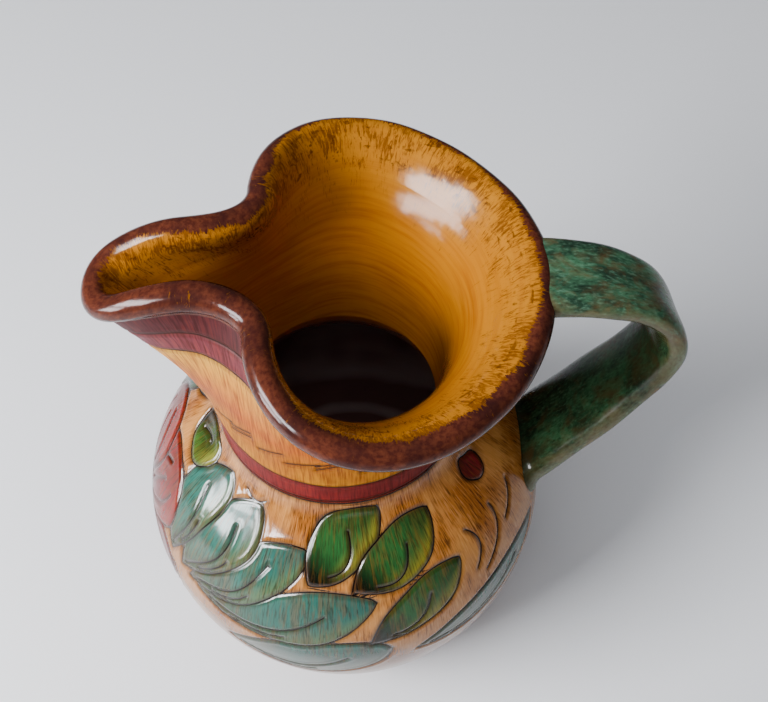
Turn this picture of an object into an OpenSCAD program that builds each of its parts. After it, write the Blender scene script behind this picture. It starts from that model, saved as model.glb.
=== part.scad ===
// Pouring jug in glazed earthenware. A thrown belly carries a thrown trumpet neck,
// whose mouth is pinched into a spout. A coil of clay is rolled over the mouth as a
// lip, and a pulled strap handle is luted to lip, neck and belly with slip.
// Lengths are in millimetres and angles in degrees. The jug stands on z = 0 with its
// axis on Z, its handle along +X and its spout along -X.

/* [Belly] */
// Outer radius of the belly at its widest ring
belly_r = 75; // [68:0.5:82]
// Height of the widest ring above the table
belly_h = 72; // [64:0.5:80]
// Radius of the flat foot that the jug stands on
foot_r = 46; // [40:0.5:52]
// Bevel round the edge of the foot
foot_bevel = 2; // [1:0.5:4]
// Thickness of the floor on the axis
floor_t = 8; // [5:0.5:12]
// Thickness of the thrown walls of belly and neck
wall = 6; // [4.5:0.25:7]

/* [Neck] */
// Outer radius of the neck at its joint with the belly
neck_r = 42.5; // [38:0.5:47]
// Inner radius of the throat at that joint, where the clay is thickest
throat_r = 33.5; // [30:0.5:36]
// Height of the joint between belly and neck
seat_h = 132; // [126:0.5:140]
// Radius of the round of the mouth, at the middle of the neck's top edge
mouth_r = 59.5; // [55:0.5:64]
// Height of the neck's top edge on the round of the mouth
mouth_h = 192.5; // [184:0.5:200]
// Power of the trumpet's flare on the round of the mouth: 1 is a straight cone
flare_power = 4.5; // [3:0.1:5.5]

/* [Spout] */
// Reach of the neck's top edge at the tip of the spout, from the jug's axis
spout_reach = 69; // [64:0.5:74]
// Distance between the side walls of the spout, at the middle of the walls
spout_w = 25.5; // [20:0.5:30]
// Height of the pinched side walls above the round of the mouth
spout_rise = 11; // [8:0.5:15]
// Power of the flare along the spout's underside: 1 is a straight cone
spout_power = 1.5; // [1.2:0.05:2]

/* [Lip] */
// Radius of the roll of the lip
lip_r = 4.75; // [4:0.25:6]

/* [Handle] */
// Height of the middle of the strap above the neck's top edge, where it meets the lip
handle_lift = 2.5; // [0:0.25:4]
// Height of the middle of the strap where it meets the belly
handle_low_h = 95; // [88:0.5:102]
// Distance of the middle of the strap from the jug's axis at the outer bend
handle_reach = 108; // [100:0.5:116]
// Height of the outer bend
bend_h = 163; // [155:0.5:170]
// Width of the strap at the lip
strap_w = 28.5; // [24:0.5:34]
// Width of the strap towards the bend
strap_mid_w = 25; // [22:0.5:32]
// Width of the wiped-down end on the belly
strap_low_w = 36; // [30:0.5:40]
// Thickness of the strap
strap_t = 9.5; // [7:0.25:11]
// Thickness of the wiped-down end on the belly
strap_low_t = 13; // [10:0.25:16]
// Depth of the hollow along the strap's outer face
strap_dish = 1.2; // [0:0.1:2]
// Layer of slip between the handle and what carries it
slip_gap = 0.3; // [0.2:0.05:0.4]

/* [Hidden] */

// Numbers of steps along the curves
belly_steps = 16;
blend_steps = 6;
mouth_half_steps = 40;
mouth_steps = 2 * mouth_half_steps;
curve_steps = 30;
neck_steps = 16;
lip_steps = 11;
strap_steps = 20;
strap_sides = 20;
$fn = 96;

// Semi-heights of the two half ellipses that make the belly's outline
low_b = (belly_h - foot_bevel) / sqrt(1 - pow(foot_r / belly_r, 2));
shoulder_share = 1.04;
shoulder_b = (seat_h - belly_h) * shoulder_share;
// Angle on the upper ellipse where the shoulder starts to turn up into the neck
shoulder_turn = 46;
// Power of the rounded inside of the floor: 2 is an ellipse, more is squarer
floor_power = 3;
// What the wall gains at the throat, and the powers by which that fades into shoulder and neck
throat_gain = neck_r - throat_r - wall;
shoulder_gain_power = 4;
neck_gain_power = 2;

// Control points of the pinch and the spout, for the half of the mouth on the +Y side.
// Those of the pinch are shares of the mouth's radius, and those of the spout are
// shares of its reach and of its half width. The last share is of the spout's rise.
pinch_turn_shares = [-0.29, 0.94, 0.75];
pinch_shares = [-0.36, 0.48, 0.82];
wall_lead_shares = [-0.507, 1.06, 1.04];
wall_shares = [-0.638, 1, 0.97];
tip_turn_shares = [-1, 0.85, 0.06];
tip_shares = [-1, 0, 0.06];
// Angle round the mouth where the pinch starts to draw the edge up, and the arm and the
// rise of its first control point
pinch_start = 45;
pinch_lead_shares = [0.7, 0.1];
// Length of the control arm after a knot as a share of the arm before it
pinch_arm_share = 0.42;
wall_arm_share = 1.45;
// Share of the way round from the spout over which its own flare gives way to the mouth's
spout_power_share = 0.5;

// Lift of the lip's centre above the neck's top edge, so that it seats on that edge
lip_lift = sqrt(lip_r * lip_r - pow(wall / 2, 2));
lip_corner = asin(lip_lift / lip_r);

// Control arms of the handle's middle line, as shares of its own reach and drops
top_arm_share = 0.66;
bend_up_arm_share = 0.6;
bend_down_arm_share = 0.22;
low_arm_share = 0.42;
// Direction of the strap where it comes down on the belly, below the horizontal
low_slope = 58;
// Length of the strap that is sunk towards the belly's wall before it is cut to it
low_sink = strap_low_t;
// Where along the strap it has its middle width, from where it widens to its low end, and
// from where that end is thickened
mid_share = 0.4;
spread_share = 0.5;
wipe_share = 0.78;
// Roundness of the strap's section across its width and its thickness
side_power = 0.55;
face_power = 0.8;

// Point at t on the cubic curve with the control points c
function bezier(c, t) =
    c[0] * pow(1 - t, 3) + 3 * c[1] * t * pow(1 - t, 2) + 3 * c[2] * t * t * (1 - t) + c[3] * pow(t, 3);

// Smooth step from 0 to 1
function ease(t) = (1 - cos(180 * max(0, min(1, t)))) / 2;

// Signed power, which squares up a circle
function squared(v, exponent) = sign(v) * pow(abs(v), exponent);

// Outer radius of the belly below its widest ring
function low_r(z) = belly_r * sqrt(1 - pow((belly_h - z) / low_b, 2));

// Outline of the belly from the foot to the widest ring, then over the shoulder to the neck
low_outline = [
    for (i = [0 : belly_steps - 1])
        let (z = foot_bevel + (belly_h - foot_bevel) * i / belly_steps)
        [low_r(z), z]
];
turn_r = belly_r * cos(shoulder_turn);
turn_h = belly_h + shoulder_b * sin(shoulder_turn);
blend_h = turn_h + (turn_r - neck_r) * shoulder_b / belly_r / tan(shoulder_turn);
shoulder_outline = concat(
    [
        for (i = [0 : belly_steps])
            let (a = shoulder_turn * i / belly_steps)
            [belly_r * cos(a), belly_h + shoulder_b * sin(a)]
    ],
    [
        for (i = [1 : blend_steps])
            let (t = i / blend_steps)
            pow(1 - t, 2) * [turn_r, turn_h] + 2 * t * (1 - t) * [neck_r, blend_h] + t * t * [neck_r, seat_h]
    ]
);

// A line of [radius, height] points moved inwards by the wall, square to itself, with level
// ends and more and more towards the throat
function inset(line) =
    let (last = len(line) - 1)
    [
        for (i = [0 : last])
            let (
                run = i == 0 || i == last ? [0, 1] : line[i + 1] - line[i - 1],
                out = [run[1], -run[0]] / norm(run)
            )
            line[i] - (wall + throat_gain * pow(i / last, shoulder_gain_power)) * out
    ];

// Inside of the belly: the shoulder moved in by the wall, then a rounded floor
bowl_r = belly_r - wall;
bowl_h = belly_h - floor_t;
bowl_outline = [
    for (i = [1 : belly_steps])
        let (a = 90 * i / belly_steps)
        [bowl_r * pow(cos(a), 2 / floor_power), belly_h - bowl_h * pow(sin(a), 2 / floor_power)]
];
inner_shoulder = inset(shoulder_outline);
hollow_outline = concat([for (i = [len(inner_shoulder) - 1 : -1 : 0]) inner_shoulder[i]], bowl_outline);
belly_outline = concat([[0, 0], [foot_r - foot_bevel, 0]], low_outline, shoulder_outline, hollow_outline);

module belly() {
    color("#c0935f")
        rotate_extrude()
            polygon(belly_outline);
}

// Places on the mouth's edge, from shares of the pinch's and of the spout's sizes
function pinch_point(s) = [s[0] * mouth_r, s[1] * mouth_r, mouth_h + s[2] * spout_rise];
function spout_point(s) = [s[0] * spout_reach, s[1] * spout_w / 2, mouth_h + s[2] * spout_rise];

// Half of the mouth's edge: an arc, the pinch, the spout's wall and its tip
pinch_turn = pinch_point(pinch_turn_shares);
pinch_end = pinch_point(pinch_shares);
wall_lead = spout_point(wall_lead_shares);
wall_end = spout_point(wall_shares);
round_end = pinch_point([cos(pinch_start), sin(pinch_start), 0]);
pinch_arm = pinch_lead_shares[0] * mouth_r;
pinch_lead_rise = pinch_lead_shares[1] * spout_rise;
pinch_lead = round_end + [-pinch_arm * sin(pinch_start), pinch_arm * cos(pinch_start), pinch_lead_rise];
pinch_curve = [round_end, pinch_lead, pinch_turn, pinch_end];
wall_curve = [pinch_end, pinch_end + pinch_arm_share * (pinch_end - pinch_turn), wall_lead, wall_end];
tip_curve = [
    wall_end,
    wall_end + wall_arm_share * (wall_end - wall_lead),
    spout_point(tip_turn_shares),
    spout_point(tip_shares)
];
fine_edge = concat(
    [
        for (i = [0 : curve_steps])
            let (a = pinch_start * i / curve_steps)
            [mouth_r * cos(a), mouth_r * sin(a), mouth_h]
    ],
    [for (c = [pinch_curve, wall_curve, tip_curve]) for (i = [1 : curve_steps]) bezier(c, i / curve_steps)]
);

// The same half edge at even steps of its length
function run_lengths(line, i = 0, sum = 0) =
    i == len(line) ? [] :
    let (s = sum + (i == 0 ? 0 : norm(line[i] - line[i - 1])))
    concat([s], run_lengths(line, i + 1, s));
edge_runs = run_lengths(fine_edge);
edge_length = edge_runs[len(edge_runs) - 1];
edge_tables = [for (axis = [0 : 2]) [for (i = [0 : len(fine_edge) - 1]) [edge_runs[i], fine_edge[i][axis]]]];
half_edge = [
    for (i = [0 : mouth_half_steps])
        [for (axis = [0 : 2]) lookup(edge_length * i / mouth_half_steps, edge_tables[axis])]
];

// Point i of the whole edge, counted round the mouth from the handle
function edge(i) =
    let (k = (i + mouth_steps) % mouth_steps)
    k <= mouth_half_steps ? half_edge[k] :
    let (p = half_edge[mouth_steps - k])
    [p[0], -p[1], p[2]];

// Middle of the neck's wall at step i round the mouth and share t of the way up: it leaves
// the joint's circle for the mouth's edge with the power that flare gives
function seat(i) = let (a = 180 * i / mouth_half_steps) (neck_r - wall / 2) * [cos(a), sin(a)];
function plan(p) = [p[0], p[1]];
function flare(i) =
    let (half_turn = abs((i + mouth_steps) % mouth_steps - mouth_half_steps) / mouth_half_steps)
    spout_power + (flare_power - spout_power) * ease(half_turn / spout_power_share);
function middle(i, t) =
    let (s = seat(i), e = edge(i), xy = s + (plan(e) - s) * pow(t, flare(i)))
    [xy[0], xy[1], seat_h + (e[2] - seat_h) * t];

// Direction square to the wall there: level at the joint and tilted by the flare above it
function square_out(i, t) =
    let (
        run = plan(middle(i + 1, t)) - plan(middle(i - 1, t)),
        out = [run[1], -run[0]] / norm(run),
        spread = (plan(edge(i)) - seat(i)) * out * flare(i) * pow(t, flare(i) - 1),
        lean = atan2(spread, edge(i)[2] - seat_h)
    )
    [out[0] * cos(lean), out[1] * cos(lean), -sin(lean)];

// Direction up along the wall, at the mouth's edge
function along_up(i) =
    let (q = square_out(i, 1), level = norm(plan(q)))
    [-q[2] * q[0] / level, -q[2] * q[1] / level, level];

// Outer and inner face of the wall, which thickens inwards towards the throat
function neck_outside(i, t) = middle(i, t) + wall / 2 * square_out(i, t);
function neck_inside(i, t) =
    middle(i, t) - (wall / 2 + throat_gain * pow(1 - t, neck_gain_power)) * square_out(i, t);

// Point k on the round of the lip's section, from its outer seat corner to its inner one
function lip_skin(i, k) =
    let (a = -lip_corner + (180 + 2 * lip_corner) * k / (lip_steps - 1))
    edge(i) + lip_lift * along_up(i) + lip_r * (cos(a) * square_out(i, 1) + sin(a) * along_up(i));

// Triangles over a band of rings, each ring of n points joined to the next
function band(rings, n, closed) = [
    for (j = [0 : rings - (closed ? 1 : 2)])
        for (i = [0 : n - 1])
            let (
                a = j * n + i,
                b = j * n + (i + 1) % n,
                c = (j + 1) % rings * n + i,
                d = (j + 1) % rings * n + (i + 1) % n
            )
            for (face = [[a, c, b], [b, c, d]])
                face
];

module neck() {
    around = [0 : mouth_steps - 1];
    outer = [for (j = [0 : neck_steps]) for (i = around) neck_outside(i, j / neck_steps)];
    inner = [for (j = [neck_steps : -1 : 0]) for (i = around) neck_inside(i, j / neck_steps)];
    color("#c9822a")
        polyhedron(concat(outer, inner), band(2 * (neck_steps + 1), mouth_steps, true));
}

module lip_roll() {
    color("#5a2e1e")
        polyhedron(
            [for (k = [0 : lip_steps - 1]) for (i = [0 : mouth_steps - 1]) lip_skin(i, k)],
            band(lip_steps, mouth_steps, true)
        );
}

// Middle line of the handle in the XZ plane: out from the lip, round the bend, down to the belly
low_run = [cos(low_slope), sin(low_slope)];
belly_low_x = belly_r * sqrt(1 - pow((handle_low_h - belly_h) / shoulder_b, 2));
handle_top_h = mouth_h + handle_lift;
handle_start = [mouth_r, handle_top_h];
handle_bend = [handle_reach, bend_h];
handle_end = [belly_low_x, handle_low_h] - low_sink * low_run;
handle_out = handle_reach - mouth_r;
handle_top_drop = handle_top_h - bend_h;
handle_low_drop = bend_h - handle_low_h;
top_curve = [
    handle_start,
    handle_start + [handle_out * top_arm_share, 0],
    handle_bend + [0, handle_top_drop * bend_up_arm_share],
    handle_bend
];
low_curve = [
    handle_bend,
    handle_bend - [0, handle_low_drop * bend_down_arm_share],
    handle_end + handle_low_drop * low_arm_share * low_run,
    handle_end
];
handle_line = concat(
    [for (i = [0 : strap_steps - 1]) bezier(top_curve, i / strap_steps)],
    [for (i = [0 : strap_steps]) bezier(low_curve, i / strap_steps)]
);

// Half width and half thickness of the strap at share s of its length
function past(s, start) = ease((s - start) / (1 - start));
function strap_half_w(s) =
    let (narrowing = (strap_mid_w - strap_w) * ease(s / mid_share))
    (strap_w + narrowing + (strap_low_w - strap_mid_w) * past(s, spread_share)) / 2;
function strap_half_t(s) = (strap_t + (strap_low_t - strap_t) * past(s, wipe_share)) / 2;

// Point k of the strap's section at ring j: rounded edges, and a hollow along the outer face
function strap_skin(j, k) =
    let (
        last = len(handle_line) - 1,
        run = handle_line[min(j + 1, last)] - handle_line[max(j - 1, 0)],
        out = [-run[1], run[0]] / norm(run),
        a = 360 * k / strap_sides,
        across = squared(cos(a), side_power),
        rise = strap_half_t(j / last) * squared(sin(a), face_power),
        dish = sin(a) > 0 ? strap_dish * (1 - across * across) : 0,
        xz = handle_line[j] + (rise - dish) * out
    )
    [xz[0], strap_half_w(j / last) * across, xz[1]];

// Outside of the round jug, as the handle's ends are cut to it
neck_outline = [for (j = [1 : neck_steps]) let (p = neck_outside(0, j / neck_steps)) [p[0], p[2]]];
lip_centre = edge(0) + lip_lift * along_up(0);
lip_outline = [
    for (k = [1 : lip_steps - 1])
        let (p = lip_skin(0, k))
        if (p[0] > lip_centre[0])
            [p[0], p[2]]
];
jug_outline = concat(low_outline, shoulder_outline, neck_outline, lip_outline);
cut_outline = concat(
    [[0, foot_bevel]],
    [for (p = jug_outline) p + [slip_gap, 0]],
    [[0, lip_centre[2] + lip_r]]
);

module handle() {
    rings = len(handle_line);
    points = [for (j = [0 : rings - 1]) for (k = [0 : strap_sides - 1]) strap_skin(j, k)];
    first = [for (k = [0 : strap_sides - 1]) k];
    last = [for (k = [strap_sides - 1 : -1 : 0]) (rings - 1) * strap_sides + k];
    color("#2f6b4f")
        difference() {
            polyhedron(points, concat(band(rings, strap_sides, false), [first, last]));
            rotate_extrude()
                polygon(cut_outline);
        }
}

belly();
neck();
lip_roll();
handle();
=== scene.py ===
# A pouring jug in glazed earthenware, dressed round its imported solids. Shapes are worked out in
# millimetres, with the jug's axis on Z, its handle along +X and its spout along -X, and become
# metres where a mesh is made.
import math
from functools import partial

import bpy
import numpy as np
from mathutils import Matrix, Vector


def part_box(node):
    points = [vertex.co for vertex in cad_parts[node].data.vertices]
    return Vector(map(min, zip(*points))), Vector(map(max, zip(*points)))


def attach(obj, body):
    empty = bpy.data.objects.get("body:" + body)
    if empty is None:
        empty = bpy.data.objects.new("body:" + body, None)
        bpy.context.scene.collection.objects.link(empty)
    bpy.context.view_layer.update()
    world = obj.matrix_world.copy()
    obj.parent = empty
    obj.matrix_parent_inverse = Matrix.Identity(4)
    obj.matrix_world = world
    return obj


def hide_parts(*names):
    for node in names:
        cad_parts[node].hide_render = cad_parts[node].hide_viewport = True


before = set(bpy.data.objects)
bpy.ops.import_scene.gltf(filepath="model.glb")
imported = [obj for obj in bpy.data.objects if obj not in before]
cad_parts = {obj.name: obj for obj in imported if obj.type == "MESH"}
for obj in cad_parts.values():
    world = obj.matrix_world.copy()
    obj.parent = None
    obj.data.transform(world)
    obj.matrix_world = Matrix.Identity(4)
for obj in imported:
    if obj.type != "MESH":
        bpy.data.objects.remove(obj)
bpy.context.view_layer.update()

# Belly
# A globe of earthenware, thrown on the wheel, on a flat foot that is left bare. Its outside is washed
# with tan slip, leaves are cut into it and painted with coloured glazes under a clear one, and its
# inside is coated with a dark brown glaze that ends at the throat.
MM = 0.001
belly_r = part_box("belly")[1].x / MM
seat_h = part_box("belly")[1].z / MM
belly_h = 72.0
foot_r = 46.0
foot_bevel = 2.0
flat_r = foot_r - foot_bevel
floor_t = 8.0
floor_power = 3.0
wall = 6.0
neck_r = 42.5
throat_r = 33.5
throat_gain = neck_r - throat_r - wall
gain_power = 4
shoulder_share = 1.04
shoulder_b = shoulder_share * (seat_h - belly_h)
shoulder_turn = math.radians(46)

belly_columns = 580
fine_rows = 122
coarse_rows = 14
inner_rows = 12
fine_from = -38.0
curve_steps = 200


def bezier(points, t):
    """Points at the shares t of the smooth curve that a few points draw: neighbours are mixed in those
    shares, over and over, until one is left."""
    t = t[:, None]
    while len(points) > 1:
        points = [(1 - t) * np.array(p) + t * np.array(q) for p, q in zip(points[:-1], points[1:])]
    return points[0]


def belly_side():
    """Outside of the belly as [radius, height] rows from the foot up: a half ellipse to the widest ring,
    a flatter one over the shoulder, and a quadratic curve that turns up to the neck."""
    low_b = (belly_h - foot_bevel) / math.sqrt(1 - (foot_r / belly_r) ** 2)
    z = np.linspace(foot_bevel, belly_h, curve_steps)
    low = np.stack([belly_r * np.sqrt(1 - ((belly_h - z) / low_b) ** 2), z], 1)
    a = np.linspace(0, shoulder_turn, curve_steps)[1:]
    over = np.stack([belly_r * np.cos(a), belly_h + shoulder_b * np.sin(a)], 1)
    turn = over[-1]
    blend_h = turn[1] + (turn[0] - neck_r) * shoulder_b / belly_r / math.tan(shoulder_turn)
    up = bezier([turn, (neck_r, blend_h), (neck_r, seat_h)], np.linspace(0, 1, 60)[1:])
    return np.concatenate([low, over, up])


def run_lengths(line):
    """Length along a line of points, or down each column of a grid, from the first point to each of them."""
    steps = np.linalg.norm(np.diff(line, axis=0), axis=-1)
    return np.concatenate([np.zeros_like(steps[:1]), np.cumsum(steps, axis=0)])


def read_off(wanted, lengths, rows):
    """Rows of values at the wanted lengths, read off straight between the rows at the given lengths."""
    return np.stack([np.interp(wanted, lengths, column) for column in np.transpose(rows)], -1)


def square_to(line):
    """Unit vectors square to a line of [radius, height] points, to the right of its run."""
    run = np.gradient(line, axis=0)
    return np.stack([run[:, 1], -run[:, 0]], 1) / np.linalg.norm(run, axis=1, keepdims=True)


side = belly_side()
side_run = run_lengths(side)
# Heights over the surface are lengths along that side, counted from the widest ring
side_run = side_run - np.interp(belly_h, side[:, 1], side_run)
coarse_rise = np.linspace(side_run[0], fine_from, coarse_rows, endpoint=False)
rise = np.concatenate([coarse_rise, np.linspace(fine_from, side_run[-1], fine_rows)])
outer = read_off(rise, side_run, side)
outer_square = read_off(rise, side_run, square_to(side))

sole_r = np.linspace(0.25, 0.95, 4) * flat_r
bevel_turn = np.linspace(0, math.pi / 2, 5)[:-1]
sole = np.concatenate(
    [
        np.stack([sole_r, 0 * sole_r], 1),
        np.stack([flat_r + foot_bevel * np.sin(bevel_turn), foot_bevel * (1 - np.cos(bevel_turn))], 1),
    ]
)
shoulder = side[side[:, 1] > belly_h]
gain = wall + throat_gain * np.linspace(0, 1, len(shoulder))[:, None] ** gain_power
under_shoulder = (shoulder - gain * square_to(shoulder))[:: -len(shoulder) // inner_rows]
bowl_turn = np.linspace(0, math.pi / 2, inner_rows, endpoint=False)
bowl_power = 2 / floor_power
bowl_r = (belly_r - wall) * np.cos(bowl_turn) ** bowl_power
bowl_h = belly_h - (belly_h - floor_t) * np.sin(bowl_turn) ** bowl_power
inner = np.concatenate([[[throat_r, seat_h]], under_shoulder[1:], np.stack([bowl_r, bowl_h], 1)])

azimuth = np.linspace(-180, 180, belly_columns, endpoint=False)
# Depth of the cuts, and what is ploughed up beside them
cut_depth = 0.42
cut_half_w = 0.75
burr_h = 0.14
burr_off = 1.7
burr_half_w = 0.7
# Unsteadiness of the hand that drew the leaves: how far a spine wavers, and how much a width varies
spine_waver = 0.5
width_waver = 0.06
# How far past its ends a leaf can be felt, as a share of its length, and how far a stroke can
leaf_margin = 0.3
stroke_reach = 45.0
outline_steps = 49
stroke_steps = 17
# Where a leaf's colours change along its length, where its glow starts across its half width, and how far
# its paint runs over its outline, in millimetres
root_fades = (0.08, 0.5)
tip_starts = (0.6, 0.98)
glow_along = (0.15, 0.5)
glow_across = (-0.1, -0.9)
paint_edge = (0.9, -0.6)
# Paint as linear red, green, blue and cover, and the way to the nearest cut, over the outside
far = 9.0
paint = np.zeros((len(rise), belly_columns, 4))
to_cut = np.full((len(rise), belly_columns, 2), far)
dice = np.random.default_rng(11)


def linear(code):
    """Linear red, green and blue of an sRGB hex colour: a power of 2.4 after a short straight start."""
    srgb = np.array([int(code[i : i + 2], 16) / 255 for i in (1, 3, 5)])
    return np.where(srgb <= 0.04045, srgb / 12.92, ((srgb + 0.055) / 1.055) ** 2.4)


def smooth(low, high, values):
    """Smooth step from 0 at low to 1 at high: three squares less two cubes of the share between them."""
    t = np.clip((values - low) / (high - low), 0, 1)
    return t * t * (3 - 2 * t)


def way_to(line, x, y):
    """Vectors from every point x, y to the nearest of the straight pieces of a line, and their lengths."""
    way = np.full((*x.shape, 2), np.inf)
    nearest = np.full(x.shape, np.inf)
    for (x0, y0), (x1, y1) in zip(line[:-1], line[1:]):
        run_x = x1 - x0
        run_y = y1 - y0
        t = np.clip(((x - x0) * run_x + (y - y0) * run_y) / (run_x**2 + run_y**2), 0, 1)
        to_piece = np.stack([x0 + t * run_x - x, y0 + t * run_y - y], -1)
        length = np.hypot(to_piece[..., 0], to_piece[..., 1])
        closer = length < nearest
        way[closer] = to_piece[closer]
        nearest[closer] = length[closer]
    return way, nearest


def spread(azimuths, rises, middle):
    """Places round the belly laid flat in millimetres: the arc to the right of a middle meridian, and the
    rise."""
    turn = np.radians((azimuths - middle + 180) % 360 - 180)
    return np.broadcast_arrays(turn * np.interp(rises, rise, outer[:, 0]), rises)


def engrave(ways, near, line, x, y, hides=None):
    """Lets a new line take over where it is nearer than the cuts so far, and wherever it hides them. Gives
    the distances to it."""
    way, nearest = way_to(line, x, y)
    old = ways[near]
    takes = nearest < np.hypot(old[:, 0], old[:, 1])
    if hides is not None:
        takes = takes | hides
    old[takes] = way[takes]
    ways[near] = old
    return nearest


def leaf(base, tip, width, colours, bend=0.0, fullest=0.5, blunt=0.8, veins=(), side=1):
    """Cuts and paints one leaf from base to tip, each [azimuth, rise]. Its half width is a power of a sine
    along a spine that bows by bend, and each vein is a bowed line from [share of the length, share of the
    half width] to another. Paint runs from the root's colour over the body's to the tip's, and glows on
    one side."""
    base = np.array(base) * [side, 1]
    tip = np.array(tip) * [side, 1]
    middle = (base[0] + tip[0]) / 2
    x, y = spread(azimuth[None, :], rise[:, None], middle)
    start = np.array(spread(*base, middle))
    ahead = np.array(spread(*tip, middle)) - start
    length = np.hypot(*ahead)
    ahead = ahead / length
    aside = side * np.array([-ahead[1], ahead[0]])
    along = (x - start[0]) * ahead[0] + (y - start[1]) * ahead[1]
    across = (x - start[0]) * aside[0] + (y - start[1]) * aside[1]
    near = (along > -leaf_margin * length) & (along < (1 + leaf_margin) * length)
    near = near & (np.abs(across) < width + abs(bend))
    skew = math.log(0.5) / math.log(fullest)
    wobble = dice.uniform(-0.5, 0.5, 2)

    def spine(share):
        return bend * 4 * share * (1 - share) + 2 * spine_waver * wobble[0] * np.sin(7 * share)

    def half(share):
        swell = np.sin(np.pi * np.clip(share, 0, 1) ** skew) ** blunt
        return width / 2 * swell * (1 + width_waver * np.sin(9 * share + 3 * wobble[1]))

    def placed(shares, offsets):
        sideways = spine(shares) + offsets * half(shares)
        return start + np.outer(shares * length, ahead) + np.outer(sideways, aside)

    steps = np.linspace(0, 1, outline_steps)
    ones = np.ones(outline_steps)
    outline = np.concatenate([placed(steps, ones), placed(steps[::-1], -ones)])
    share = along[near] / length
    offset = (across[near] - spine(share)) / np.maximum(half(share), 0.1)
    inside = (share > 0) & (share < 1) & (np.abs(offset) < 1)
    gap = engrave(to_cut, near, outline, x[near], y[near], hides=inside)
    cover = smooth(*paint_edge, np.where(inside, -gap, gap))[:, None]
    t = steps[::4]
    for (t0, off0), (t1, off1), bow in veins:
        offs = off0 + (off1 - off0) * t + bow * 4 * t * (1 - t)
        engrave(to_cut, near, placed(t0 + (t1 - t0) * t, offs), x[near], y[near])
    root, body, end, glow = [linear(c) for c in colours]
    lit = smooth(*glow_across, offset)[:, None] * smooth(*glow_along, share)[:, None]
    tone = root + (body - root) * smooth(*root_fades, share)[:, None]
    tone = tone + (end - tone) * smooth(*tip_starts, share)[:, None]
    tone = tone + (glow - tone) * lit
    here = paint[near]
    under = np.where(here[:, 3:] > 0.02, cover, 1)
    mixed = here[:, :3] + (tone - here[:, :3]) * under
    mixed = np.concatenate([mixed, np.maximum(here[:, 3:], cover)], 1)
    paint[near] = np.where(cover > 0, mixed, here)


def stroke(first, turn, last, side=1):
    """Cuts a line with a loop tool, along the quadratic curve of three [azimuth, rise] points."""
    line = bezier([first, turn, last], np.linspace(0, 1, stroke_steps))
    middle = side * turn[0]
    x, y = spread(azimuth[None, :], rise[:, None], middle)
    path = np.stack(spread(side * line[:, 0], line[:, 1], middle), 1)
    half_way = path[len(path) // 2]
    near = (np.abs(x - half_way[0]) < stroke_reach) & (np.abs(y - half_way[1]) < stroke_reach)
    engrave(to_cut, near, path, x[near], y[near])


teal = ("#3A5537", "#2C6659", "#265A50", "#526D4B")
green = ("#060C06", "#235A2A", "#25451B", "#7A7424")
red = ("#530C0C", "#89100D", "#780D0D", "#951E16")
peach = ("#B05A19", "#D97422", "#C0631F", "#E08536")
berry = ("#5A0D10", "#701519", "#701519", "#78201C")
bud = ("#080E08", "#1E4A18", "#8A8A34", "#46702A")
ribs = [((0.08, -0.15), (0.74, 0.1), -0.42), ((0.2, -0.7), (0.5, -0.68), -0.08)]
hook = [((0.20, -0.5), (0.66, 0.1), -0.4)]

# Leaves as base, tip, width, colours, bend, fullest, blunt and veins: a long one low on the handle's side,
# the fan of teal ones from the lowest to the highest, a peach petal below the fan, green ones at the front,
# and a berry near the handle
leaves = (
    ((-71, -2), (-19, 13), 17, teal, 0, 0.5, 0.8, ribs),
    ((-126, -7), (-78, 5), 30, teal, -3, 0.58, 0.6, ribs),
    ((-137, 13), (-81, 31), 25, teal, -3, 0.6, 0.7, ribs),
    ((-141, 14), (-103, 50), 23, teal, -1, 0.58, 0.7, ribs),
    ((-145, 15), (-126, 60), 23, teal, -2, 0.58, 0.7, ribs),
    ((-151, 15), (-146, 62), 22, teal, 3, 0.58, 0.7, ribs),
    ((-149, 9), (-160, -20), 17, peach),
    ((-102, 38), (-75, 66), 21, green, 1, 0.54, 0.7, hook),
    ((-88, 36), (-54, 57), 21, green, -2, 0.56, 0.7, hook),
    ((-84, 10), (-52, 34), 19, green, 1, 0.58, 0.7, hook),
    ((-33, 54), (-21, 54), 11.5, berry, 0, 0.5, 0.5),
)
# Strokes as three points: stems beside the handle, and short cuts among the leaves
strokes = (
    ((-46, 41), (-40, 33), (-48, 24)),
    ((-33, 40), (-32, 29), (-45, 20)),
    ((-21, 38), (-23, 33), (-31, 29)),
    ((-170, 38), (-167, 45), (-162, 41)),
    ((-136, 62), (-130, 58), (-125, 62)),
)
for side_sign in (1, -1):
    for row in leaves:
        leaf(*row, side=side_sign)
    for row in strokes:
        stroke(*row, side=side_sign)

# The flower under the spout, with five petals round a low centre, and a bud at each side of the spout
flower_rise = 6.0
petal_l = 42.0
petal_w = 37.0
petal_ribs = [
    ((0.25, 0.5), (0.8, 0.35), 0.1),
    ((0.25, -0.5), (0.8, -0.35), -0.1),
    ((0.3, 0.0), (0.7, 0.0), 0.0),
]
for petal_turn in np.radians((180, 108, 252, 36, 324)):
    petal_azimuth = 180 + math.degrees(petal_l * math.sin(petal_turn) / belly_r)
    petal_tip = (petal_azimuth, flower_rise + petal_l * math.cos(petal_turn))
    leaf((180, flower_rise), petal_tip, petal_w, red, fullest=0.62, blunt=0.6, veins=petal_ribs)
leaf((175, flower_rise), (185, flower_rise), 13, berry, blunt=0.5)
bud_rib = [((0.3, -0.2), (0.6, 0.3), 0.2)]
leaf((-182, 60), (-158, 53), 17, bud, fullest=0.6, blunt=0.45, veins=bud_rib)
leaf((172, 59), (149, 53), 17, bud, fullest=0.6, blunt=0.45, veins=bud_rib)
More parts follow.
